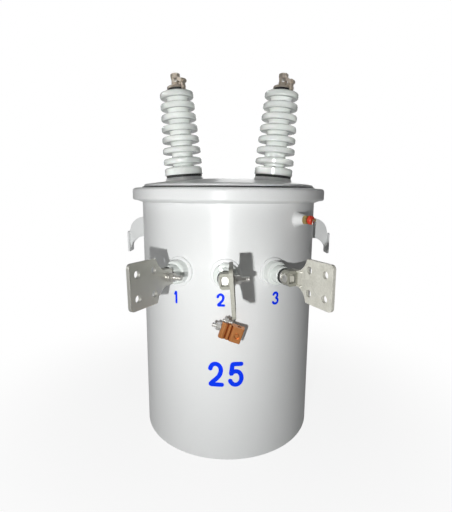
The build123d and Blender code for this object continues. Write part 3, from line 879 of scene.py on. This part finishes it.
@dataclass
class TerminalBolt:
    """The M10 bolt through a low-voltage terminal's jaw, stud and plate."""

    radius: float = 4.7
    pitch: float = 1.5
    out: float = 274.5
    head: float = -10.5
    head_r: float = 9.0
    head_h: float = 2.8
    head_dome: Profile = (
        (0.3, 1.0), (0.75, 0.85), (0.95, 0.5), (1.0, 0.1), (1.0, 0.0),
    )
    face: float = 18.4
    washer_r: float = 10.5
    washer_t: float = 1.8
    lock_r: float = 8.8
    lock_t: float = 2.2
    lock_rise: float = 1.4
    nut_flats: float = 16.0
    nut_h: float = 8.0
    end: float = 47.5

    def build(self, side: str) -> None:
        """Make the bolt of one terminal.

        Args:
            side: Which terminal it belongs to.
        """
        form = Form(on_wall(SIDES[side] * LV_AZIMUTH, LV_Z, SPADE_LEAN[side]) @ across(self.out))
        form.turned([
            (share * self.head_r, self.head - depth * self.head_h) for share, depth in self.head_dome
        ])
        form.turned([
            (self.radius, self.head), (self.radius, self.end - CHAMFER), (self.radius - CHAMFER, self.end),
        ])
        lock = self.face + self.washer_t
        form.washer(self.radius, self.washer_r, self.face, lock)
        form.spring_washer(self.radius, self.lock_r, lock, self.lock_t)
        nut = lock + self.lock_rise * self.lock_t
        form.hexagon(self.nut_flats, nut, nut + self.nut_h)
        form.thread(self.radius, self.pitch, nut + self.nut_h - THREAD_LAP, self.end - CHAMFER)
        form.finish("terminal_bolt_" + side, PLATED, ["lv_bolt_" + side])


@dataclass
class ToothedWasher:
    """The toothed lock washer behind a low-voltage terminal's jaw."""

    washer: Ring = (8.0, 11.7, 264.8, 266.2)
    teeth: tuple[float, float, float, float, float, int] = (11.7, 264.9, 266.2, 1.6, 2.4, 20)

    def build(self, side: str) -> None:
        """Make the washer of the terminal on one side."""
        lock = Form(on_wall(SIDES[side] * LV_AZIMUTH, LV_Z, SPADE_LEAN[side]))
        lock.washer(*self.washer)
        lock.ridges(*self.teeth)
        lock.finish("lock_washer_" + side, PLATED)


@dataclass
class HighVoltageTerminal:
    """The rubber seal, the collars and the small screws on top of a high-voltage bushing."""

    top: float = 221.8
    seal_r: float = 20.6
    seal_h: float = 4.2
    seal_soft: float = 0.8
    cap_h: float = 5.5
    foot_h: float = 6.0
    body_h: float = 14.0
    body_r: float = 10.0
    knurl_in: float = 0.6
    knurl_out: float = 3.2
    knurl: tuple[float, float, int] = (1.2, 1.4, 28)
    collar: Ring = (8.4, 12.2, -0.1, 1.5)
    arm_turn: float = -38.0
    clamp_x: float = 16.5
    clamp_nut: Hexagon = (8.5, 1.6, 5.4)
    clamp_washer: Ring = (2.6, 5.2, 5.4, 6.6)
    clamp_shank: Profile = ((2.2, 0.2), (2.6, 0.6), (2.6, 9.0), (2.2, 9.2))
    knuckle_x: float = 25.2
    knuckle_up: float = 3.0
    pin_head: Hexagon = (8.0, 5.0, 8.2)
    pin_nut: Hexagon = (8.0, -8.7, -5.0)
    pin_shank: Profile = ((2.0, -10.5), (2.4, -10.1), (2.4, 8.8), (2.0, 9.2))
    pin_thread: Ring = (2.2, 0.8, -10.3, -8.5)
    tongue_reach: float = 20.0
    grip_up: float = 5.0
    grip_head: Hexagon = (7.0, 2.1, 5.0)
    grip_washer: Ring = (2.0, 4.4, 2.0, 2.8)

    def build(self, side: str) -> None:
        """Make the seal, the collars and the screws.

        Args:
            side: Which bushing they belong to.
        """
        place = on_dome(SIDES[side])
        seal = Form(place)
        soft, low = self.seal_soft, self.top - self.seal_h
        seal.turned([
            (self.seal_r - soft, low), (self.seal_r, low + soft), (self.seal_r, self.top - soft),
            (self.seal_r - soft, self.top),
        ])
        seal.finish("cap_seal_" + side, RUBBER)
        foot = self.top + self.cap_h
        body = foot + self.foot_h
        head = body + self.body_h
        collar = Form(place)
        collar.ridges(self.body_r, body + self.knurl_in, body + self.knurl_out, *self.knurl)
        collar.ridges(self.body_r, head - self.knurl_out, head - self.knurl_in, *self.knurl)
        collar.washer(*self.collar, Matrix.Translation((0, 0, foot)))
        collar.finish("eye_terminal_collar_" + side, BRONZE)
        screws = Form(place @ Matrix.Rotation(math.radians(self.arm_turn), 4, "Z"))
        knuckle = body + self.knuckle_up
        pin = Matrix.Translation((self.knuckle_x, 0, knuckle)) @ Matrix.Rotation(math.pi / 2, 4, "X")
        screws.hexagon(*self.pin_head, pin)
        screws.hexagon(*self.pin_nut, pin)
        screws.turned(self.pin_shank, pin)
        screws.thread(*self.pin_thread, pin)
        clamp = Matrix.Translation((self.clamp_x, 0, foot))
        screws.hexagon(*self.clamp_nut, clamp)
        screws.turned(self.clamp_shank, clamp)
        screws.washer(*self.clamp_washer, clamp)
        grip = Matrix.Translation((self.knuckle_x, 0, knuckle - self.tongue_reach + self.grip_up))
        grip = grip @ Matrix.Rotation(math.pi / 2, 4, "Y")
        screws.hexagon(*self.grip_head, grip)
        screws.washer(*self.grip_washer, grip)
        screws.finish("eye_terminal_screws_" + side, BRONZE)


@dataclass
class ReliefValve:
    """The valve's fluted red cap, chamfered brass hexagon and thread."""

    azimuth: float = 45.0
    height: float = 540.0
    hexagon: Hexagon = (17.5, 236.0, 245.0)
    washer: Ring = (5.5, 8.2, 234.8, 236.1)
    neck: Profile = ((5.0, 244.5), (5.0, 254.0))
    thread: Ring = (5.0, 1.2, 245.0, 248.5)
    stem: Profile = (
        (2.6, 254.0), (2.6, 257.8), (1.7, 258.4), (1.7, 261.4), (2.6, 262.0), (2.6, 262.6), (2.1, 263.0),
    )
    cap_in: float = 247.5
    cap_out: float = 257.0
    cap_r: float = 8.9
    cap_soft: float = 3.4
    cap_steps: int = 6
    flute_in: float = 0.9
    flutes: tuple[float, float, int] = (1.5, 1.1, 18)

    def build(self) -> None:
        """Make the valve's body and cap."""
        place = on_wall(self.azimuth, self.height)
        body = Form(place)
        body.hexagon(*self.hexagon)
        body.washer(*self.washer)
        body.turned(self.neck)
        body.thread(*self.thread)
        body.turned(self.stem)
        body.finish("valve_brass", BRASS, ["relief_valve_body"])
        cap = Form(place)
        soft = self.cap_soft
        turns = [math.pi / 2 * step / self.cap_steps for step in range(self.cap_steps + 1)]
        rounded = [
            (self.cap_r - soft * (1 - math.cos(turn)), self.cap_out - soft * (1 - math.sin(turn)))
            for turn in turns
        ]
        cap.turned([(self.cap_r - CHAMFER, self.cap_in), (self.cap_r, self.cap_in + CHAMFER)] + rounded)
        cap.ridges(self.cap_r, self.cap_in + self.flute_in, self.cap_out - soft, *self.flutes)
        cap.finish("valve_cap_fluted", RED, ["relief_valve_cap"])


@dataclass
class GroundConnector:
    """The clamp's bolt and screw, and the small threaded stud on its upper edge."""

    x: float = 12.8
    height: float = 316.4
    turn: float = -18.0
    face: float = 241.0
    bolt_v: float = 3.0
    bolt_depth: float = 5.3
    bolt: Profile = ((3.2, -42.0), (4.0, -41.2), (4.0, -4.0))
    washer: Ring = (4.0, 8.4, -25.0, -23.5)
    nut: Hexagon = (14.3, -33.0, -25.0)
    bolt_thread: Ring = (4.0, 1.5, -41.2, -32.0)
    wire_u: float = 12.0
    screw_v: float = -1.6
    screw: Profile = ((4.6, 12.0), (4.6, 14.8), (3.7, 15.7), (1.0, 15.8))
    edge_v: float = 18.9
    edge_depth: float = 7.0
    stud: Profile = ((2.5, -25.0), (3.0, -24.4), (3.0, -4.5), (2.5, -4.0))
    stud_threads: tuple[tuple[float, ...], ...] = ((3.0, 1.25, -24.4, -19.5), (3.0, 1.25, -13.0, -4.5))
    stud_washer: Ring = (3.0, 6.8, -19.4, -18.2)
    stud_nut: Hexagon = (10.0, -18.2, -13.2)

    def build(self) -> None:
        """Make the bolt, the screw and the stud."""
        base = Matrix.Translation((self.x, 0, self.height)) @ Matrix.Rotation(math.pi / 2, 4, "X")
        turned = Matrix.Rotation(math.radians(self.turn), 4, "Z")
        place = base @ Matrix.Translation((0, 0, self.face)) @ turned
        along = Matrix.Rotation(math.pi / 2, 4, "Y")
        axis = Matrix.Translation((0, self.bolt_v, self.bolt_depth)) @ along
        bolt = Form(place)
        bolt.turned(self.bolt, axis)
        bolt.washer(*self.washer, axis)
        bolt.hexagon(*self.nut, axis)
        bolt.thread(*self.bolt_thread, axis)
        bolt.finish("ground_clamp_bolt", PLATED, ["ground_bolt"])
        screw = Form(place @ Matrix.Translation((self.wire_u, self.screw_v, 0)))
        screw.turned(self.screw)
        screw.finish("ground_clamp_screw", COPPER, ["ground_screw"])
        upper = Form(place)
        edge = Matrix.Translation((0, self.edge_v, self.edge_depth)) @ along
        upper.turned(self.stud, edge)
        for thread in self.stud_threads:
            upper.thread(*thread, edge)
        upper.washer(*self.stud_washer, edge)
        upper.hexagon(*self.stud_nut, edge)
        upper.finish("ground_clamp_stud", PLATED)


@dataclass
class BandClosure:
    """The draw bolt of the clamp band at the back."""

    back: float = 255.0
    height: float = 592.85
    shank: Profile = ((4.7, -16.0), (4.7, 29.2), (3.9, 30.0))
    head: Hexagon = (16.0, -22.4, -16.0)
    washer: Ring = (4.7, 9.5, 16.0, 17.6)
    nut: Hexagon = (16.0, 17.6, 25.6)
    thread: Ring = (4.7, 1.5, 25.0, 29.2)

    def build(self) -> None:
        """Make the bolt with its head, washer and nut."""
        place = Matrix.Translation((0, self.back, self.height)) @ Matrix.Rotation(math.pi / 2, 4, "Y")
        bolt = Form(place)
        bolt.turned(self.shank)
        bolt.hexagon(*self.head)
        bolt.washer(*self.washer)
        bolt.hexagon(*self.nut)
        bolt.thread(*self.thread)
        bolt.finish("band_draw_bolt", PLATED, ["band_bolt"])


@dataclass
class LidGroove:
    """A dark rubber strip in the groove between the lid and the band, laid where the gap is in shade:
    painted shade.
    """

    section: Profile = (
        (213.6, 603.5), (216.4, 603.5), (216.4, 608.4), (215.4, 609.4), (213.6, 609.4),
    )

    def build(self) -> None:
        """Make the strip."""
        strip = Form(Matrix())
        # A dark strip where the groove is in shade: painted shade.
        strip.ring(self.section, segments=180)
        strip.finish("lid_groove_painted_shade", RUBBER)


@dataclass
class Welds:
    """The weld beads of everything that is welded to the tank's wall."""

    size: float = 1.6
    lug_half: float = 10.0
    lug_low: float = 484.0
    lug_top: float = 534.0
    hanger_half: float = 42.0
    hanger_h: float = 76.0
    hanger_heights: tuple[float, float] = (160.0, 445.75)
    boss_r: float = 15.6
    boss_sweep: float = 345.0
    valve: tuple[float, float] = (45.0, 540.0)
    toe: float = 0.6
    hanger_toe: float = 0.8
    hanger_share: float = 1.3
    seam_share: float = 0.8
    seam_azimuth: float = 168.0
    seam_ends: tuple[float, float] = (4.0, 576.0)

    def wall(self, across_wall: float, azimuth: float, height: float) -> Vector:
        """The point on the wall at a distance beside the upright plane of an azimuth in degrees."""
        out = math.sqrt(TANK_R ** 2 - across_wall ** 2)
        return Matrix.Rotation(math.radians(azimuth), 3, "Z") @ Vector((across_wall, -out, height))

    def upright(self, across_wall: float, azimuth: float, low: float, high: float) -> list[Vector]:
        """A straight upright path on the wall."""
        return [self.wall(across_wall, azimuth, low), self.wall(across_wall, azimuth, high)]

    def build(self) -> None:
        """Make all beads as one piece."""
        welds = Form(Matrix())
        seed = 3
        for azimuth in (-90.0, 90.0):
            for side in (-1, 1):
                edge = side * (self.lug_half + self.toe)
                welds.bead(self.upright(edge, azimuth, self.lug_low, self.lug_top), self.size, seed)
                seed += 1
            over = self.lug_top + self.toe
            top = [self.wall(u, azimuth, over) for u in (-self.lug_half, 0, self.lug_half)]
            welds.bead(top, self.size, seed)
        for height in self.hanger_heights:
            for side in (-1, 1):
                edge = side * (self.hanger_half + self.hanger_toe)
                low, high = height - self.hanger_h / 2, height + self.hanger_h / 2
                welds.bead(self.upright(edge, 180.0, low, high), self.hanger_share * self.size, seed)
                seed += 1
        azimuth, height = self.valve
        ring = oval((0.0, 0.0), (self.boss_r, self.boss_r), 0.0, self.boss_sweep, steps=36)
        boss = [self.wall(u, azimuth, height + v) for u, v in ring]
        welds.bead(boss, self.size, seed, closed=True)
        seam = self.upright(0.0, self.seam_azimuth, *self.seam_ends)
        welds.bead(seam, self.size * self.seam_share, seed + 1)
        welds.finish("weld_beads", PAINT, sharp=60.0)


class Digit(Enum):
    """The digits in use, each as the middle line of one round-ended stroke in a unit square."""

    ONE = "1"
    TWO = "2"
    THREE = "3"
    FIVE = "5"

    def line(self) -> list[tuple[float, float]]:
        """The stroke's middle line, from its start to its end."""
        if self is Digit.ONE:
            return [(0.14, 0.76), (0.56, 1.0), (0.56, 0.0)]
        if self is Digit.TWO:
            tail = [
                (0.86, 0.52), (0.74, 0.4), (0.5, 0.255), (0.26, 0.135), (0.04, 0.0), (0.5, 0.0), (1.0, 0.0),
            ]
            return oval((0.48, 0.7), (0.44, 0.3), 168, -22) + tail
        if self is Digit.THREE:
            upper = oval((0.46, 0.76), (0.4, 0.24), 158, -78)
            return upper + oval((0.46, 0.26), (0.48, 0.26), 78, -158)
        return [(0.9, 1.0), (0.2, 1.0), (0.08, 0.5)] + oval((0.46, 0.33), (0.48, 0.33), 122, -156)


def oval(
    middle: tuple[float, float], radii: tuple[float, float], start: float, end: float, steps: int = 24
) -> list[tuple[float, float]]:
    """Points of an upright oval's arc.

    Args:
        middle: Its centre.
        radii: Its half width and half height.
        start: Its first angle in degrees.
        end: Its last angle in degrees.
        steps: The number of steps between them.

    Returns:
        The points from first to last.
    """
    turns = [math.radians(start + (end - start) * step / steps) for step in range(steps + 1)]
    return [(middle[0] + radii[0] * math.cos(turn), middle[1] + radii[1] * math.sin(turn)) for turn in turns]


def softened(line: Sequence[Vector], gap: float, rounds: int) -> list[Vector]:
    """Resample a line evenly and ease its corners.

    Args:
        line: The line's points.
        gap: The distance between the new points.
        rounds: How many times each inner point moves towards its neighbours' middle.

    Returns:
        The new points, with both ends where they were.
    """
    points = [line[0]]
    for start, end in zip(line, line[1:]):
        steps = max(1, round((end - start).length / gap))
        points += [start.lerp(end, (step + 1) / steps) for step in range(steps)]
    for _ in range(rounds):
        inner = [
            here.lerp((before + after) / 2, 0.5)
            for before, here, after in zip(points, points[1:], points[2:])
        ]
        points = [points[0], *inner, points[-1]]
    return points


@dataclass(frozen=True)
class Mark:
    """A plain number on the tank's wall, and its overall size."""

    name: str
    digits: tuple[Digit, ...]
    azimuth: float
    height: float
    tall: float
    wide: float
    stroke: float
    spacing: float = 0.0


@dataclass
class Marks:
    """The plain blue numbers on the front wall."""

    proud: float = 0.3
    sunk: float = 0.2
    gap: float = 1.1
    rounds: int = 5
    cap_steps: int = 8
    marks: tuple[Mark, ...] = (
        Mark("rating_number", (Digit.TWO, Digit.FIVE), 0.4, 206.7, 58.0, 36.5, 9.8, 44.5),
        Mark("terminal_number_left", (Digit.ONE,), -30.2, 371.6, 30.0, 13.0, 5.4),
        Mark("terminal_number_centre", (Digit.TWO,), -2.8, 374.0, 29.0, 19.0, 5.4),
        Mark("terminal_number_right", (Digit.THREE,), 29.8, 371.6, 30.0, 19.0, 5.4),
    )

    def build(self) -> None:
        """Paint every number."""
        for mark in self.marks:
            turn = Matrix.Rotation(math.radians(mark.azimuth), 4, "Z")
            form = Form(turn @ Matrix.Translation((0, 0, mark.height)))
            for index, digit in enumerate(mark.digits):
                middle = (index - (len(mark.digits) - 1) / 2) * mark.spacing
                self.stroke(form, mark, digit, middle)
            form.finish(mark.name, INK, sharp=30.0)

    def stroke(self, form: Form, mark: Mark, digit: Digit, middle: float) -> None:
        """Lay one digit's stroke on the wall, a little proud of the paint.

        Args:
            form: The mesh that takes it.
            mark: The number that it belongs to.
            digit: The digit.
            middle: Its middle, to the right of the number's.
        """
        wide, tall, half = mark.wide - mark.stroke, mark.tall - mark.stroke, mark.stroke / 2
        line = softened(
            [Vector((middle + (x - 0.5) * wide, (y - 0.5) * tall)) for x, y in digit.line()],
            self.gap, self.rounds,
        )
        left, right = [], []
        for index, point in enumerate(line):
            ahead = line[min(index + 1, len(line) - 1)] - line[max(index - 1, 0)]
            aside = Vector((-ahead.y, ahead.x)).normalized() * half
            left.append(point + aside)
            right.append(point - aside)
        sides = (self.unfolded(side, line, half) for side in (left, right))
        sections = [[a, b] for a, b in zip(*sides)]
        first, last = (line[0] - line[1]).normalized(), (line[-1] - line[-2]).normalized()
        start = [[b, a] for a, b in reversed(self.cap(line[0], first, half))]
        sections = start + sections + self.cap(line[-1], last, half)
        rows = []
        for a, b in sections:
            rows.append([
                self.on_paint(a, self.proud), self.on_paint(b, self.proud),
                self.on_paint(b, -self.sunk), self.on_paint(a, -self.sunk),
            ])
        form.rows(rows)

    def unfolded(self, side: Sequence[Vector], line: Sequence[Vector], half: float) -> list[Vector]:
        """Straighten one side of a stroke where it folds back on itself inside a sharp corner.

        Args:
            side: The points of that side.
            line: The stroke's middle line.
            half: Half the stroke's width.

        Returns:
            The points, with those inside the stroke moved onto the corner.
        """
        clear = [min((point - middle).length for middle in line) > FOLD_SHARE * half for point in side]
        clear[0] = clear[-1] = True
        points = list(side)
        for index, good in enumerate(clear):
            if good:
                continue
            before = max(step for step in range(index) if clear[step])
            after = min(step for step in range(index, len(side)) if clear[step])
            points[index] = side[before].lerp(side[after], (index - before) / (after - before))
        return points

    def cap(self, end: Vector, ahead: Vector, half: float) -> list[list[Vector]]:
        """Sections of a stroke's round end, from the stroke outwards.

        Args:
            end: The end of the middle line.
            ahead: The direction past it.
            half: Half the stroke's width.

        Returns:
            Pairs of points across the stroke, in the order of a stroke that arrives there.
        """
        sections = []
        for step in range(1, self.cap_steps):
            turn = math.pi / 2 * step / self.cap_steps
            middle = end + ahead * half * math.sin(turn)
            aside = Vector((-ahead.y, ahead.x)) * half * math.cos(turn)
            sections.append([middle + aside, middle - aside])
        return sections

    def on_paint(self, point: Vector, proud: float) -> Vector:
        """A point of the flat drawing, wrapped round the wall and held a little off it."""
        return polar(TANK_R + proud, point.x / TANK_R - math.pi / 2, point.y)


# Stage


@dataclass
class Studio:
    """The pale floor, the soft lights and the camera at the photograph's angle."""

    reach: float = 6.0
    glossy_share: float = 0.25
    sky_level: float = 0.06
    floor_level: float = 0.6
    halo: tuple[float, float] = (0.25, 0.9)
    halo_level: float = 0.88
    lens: float = 25.52
    pitch: float = math.radians(9.56)
    azimuth: float = math.radians(1.12)
    roll: float = math.radians(0.4)
    distance: float = 4.401 * TANK_R * MM
    height: float = 2.739 * TANK_R * MM
    shift: float = -2.0 / 512

    def build(self) -> None:
        """Make the floor, the world, the lamps and the camera."""
        self.floor()
        self.world()
        self.lamps()
        self.camera()

    def floor(self) -> None:
        """A wide plain floor that looks white and keeps the object's shadow."""
        mesh = bpy.data.meshes.new("floor")
        side = self.reach
        corners = [(-side, -side, 0), (side, -side, 0), (side, side, 0), (-side, side, 0)]
        mesh.from_pydata(corners, [], [(0, 1, 2, 3)])
        piece = place_data("floor", mesh)
        material = bpy.data.materials.new("pale_floor")
        material.use_nodes = True
        tree = material.node_tree
        tree.nodes.clear()
        matt = add_node(tree, "ShaderNodeBsdfDiffuse", {"Color": (*(self.floor_level,) * 3, 1.0)})
        glow = add_node(tree, "ShaderNodeEmission", {"Color": WHITE})
        place = add_node(tree, "ShaderNodeTexCoord")
        reach = add_node(tree, "ShaderNodeVectorMath", {0: place.outputs["Object"]}, operation="LENGTH")
        share = add_node(
            tree, "ShaderNodeMapRange", {
                "Value": reach.outputs["Value"], "From Min": self.halo[0], "From Max": self.halo[1],
                "To Min": self.halo_level, "To Max": 1.0,
            }, interpolation_type="SMOOTHSTEP",
        )
        seen = combine(tree, "MULTIPLY", self.shown_rays(tree), share.outputs["Result"])
        mix = add_node(
            tree, "ShaderNodeMixShader", {"Fac": seen, 1: matt.outputs["BSDF"], 2: glow.outputs["Emission"]}
        )
        add_node(tree, "ShaderNodeOutputMaterial", {"Surface": mix.outputs["Shader"]})
        mesh.materials.append(material)

    def shown_rays(self, tree: Tree) -> Socket:
        """1 for camera rays and clear surfaces, and a share for what glossy surfaces show.

        Args:
            tree: The tree of the floor or the world.

        Returns:
            The socket with that share.
        """
        ray = add_node(tree, "ShaderNodeLightPath").outputs
        glossy = combine(tree, "MULTIPLY", ray["Is Glossy Ray"], self.glossy_share)
        first = combine(tree, "ADD", ray["Is Camera Ray"], glossy)
        return combine(tree, "ADD", first, ray["Is Transmission Ray"])

    def world(self) -> None:
        """A soft even sky that looks white to the camera and lights the object less."""
        world = bpy.data.worlds.new("studio")
        bpy.context.scene.world = world
        world.use_nodes = True
        tree = world.node_tree
        level = add_node(
            tree, "ShaderNodeMapRange",
            {"Value": self.shown_rays(tree), "To Min": self.sky_level, "To Max": 1.0},
        )
        feed(tree, tree.nodes["Background"], {"Color": WHITE, "Strength": level.outputs["Result"]})

    def lamps(self) -> None:
        """A small key lamp by the camera, two narrow ones on the bushings and two large soft ones."""
        middle = Vector((0, 0, 0.4))
        self.lamp("key", self.eye() + Vector((-0.145, -0.06, -0.12)), middle, size=0.02, power=5.7)
        self.lamp("fill_left", Vector((-2.1, -0.55, 0.9)), middle, size=1.4, power=7.5)
        for side, x in (("left", -0.135), ("right", 0.135)):
            place, target = Vector((x - 0.3, -1.6, 0.82)), Vector((x, 0, 0.76))
            self.lamp("bushing_" + side, place, target, size=0.08, power=0.1, spread=15.0)
        self.lamp("back", Vector((0.5, 2.6, 1.4)), Vector((0, 0, 0.35)), size=1.4, power=12.0)

    def lamp(
        self, name: str, place: Vector, target: Vector, size: float, power: float, spread: float = 180.0
    ) -> None:
        """Hang one square lamp.

        Args:
            name: The lamp's name.
            place: Where it hangs, in metres.
            target: The point that it faces.
            size: The side of its square.
            power: Its power in watts.
            spread: The angle in degrees that its light fans out over.
        """
        data = bpy.data.lights.new(name, "AREA")
        data.size = size
        data.energy = power
        data.spread = math.radians(spread)
        lamp = place_data(name, data)
        lamp.location = place
        lamp.rotation_euler = (target - place).to_track_quat("-Z", "Y").to_euler()

    def eye(self) -> Vector:
        """The camera's place."""
        return Vector((
            self.distance * math.sin(self.azimuth), -self.distance * math.cos(self.azimuth), self.height,
        ))

    def camera(self) -> None:
        """Set the camera that the photograph was taken with."""
        data = bpy.data.cameras.new("camera")
        data.lens = self.lens
        data.shift_x = self.shift
        data.clip_start = 0.01
        camera = place_data("camera", data)
        turn = (
            Matrix.Rotation(self.azimuth, 4, "Z")
            @ Matrix.Rotation(math.pi / 2 - self.pitch, 4, "X")
            @ Matrix.Rotation(self.roll, 4, "Z")
        )
        camera.matrix_world = Matrix.Translation(self.eye()) @ turn
        bpy.context.scene.camera = camera


def main() -> None:
    """Build the stage, dress the frame, add every fine piece and report it."""
    logging.basicConfig(level=logging.INFO, format="%(name)s: %(message)s")
    bpy.context.scene.view_settings.view_transform = "Standard"
    Studio().build()
    dress_frame()
    for side in SIDES:
        TerminalBolt().build(side)
        ToothedWasher().build(side)
        soften_node("lv_spade_" + side, soft=0.9, finish=SPADE_FINISH[side])
        # The jaws wear the darker copy of the tin: painted shade.
        soften_node("lv_jaw_" + side, soft=0.6, finish=SHADED_TIN)
    for side in ("left", "right"):
        HighVoltageTerminal().build(side)
        soften_node("hv_terminal_" + side, soft=0.6)
        soften_node("lifting_lug_" + side, soft=0.7)
    soften_node("ground_clamp", soft=0.5)
    ReliefValve().build()
    GroundConnector().build()
    BandClosure().build()
    LidGroove().build()
    Welds().build()
    Marks().build()


if __name__ == "__main__":
    main()
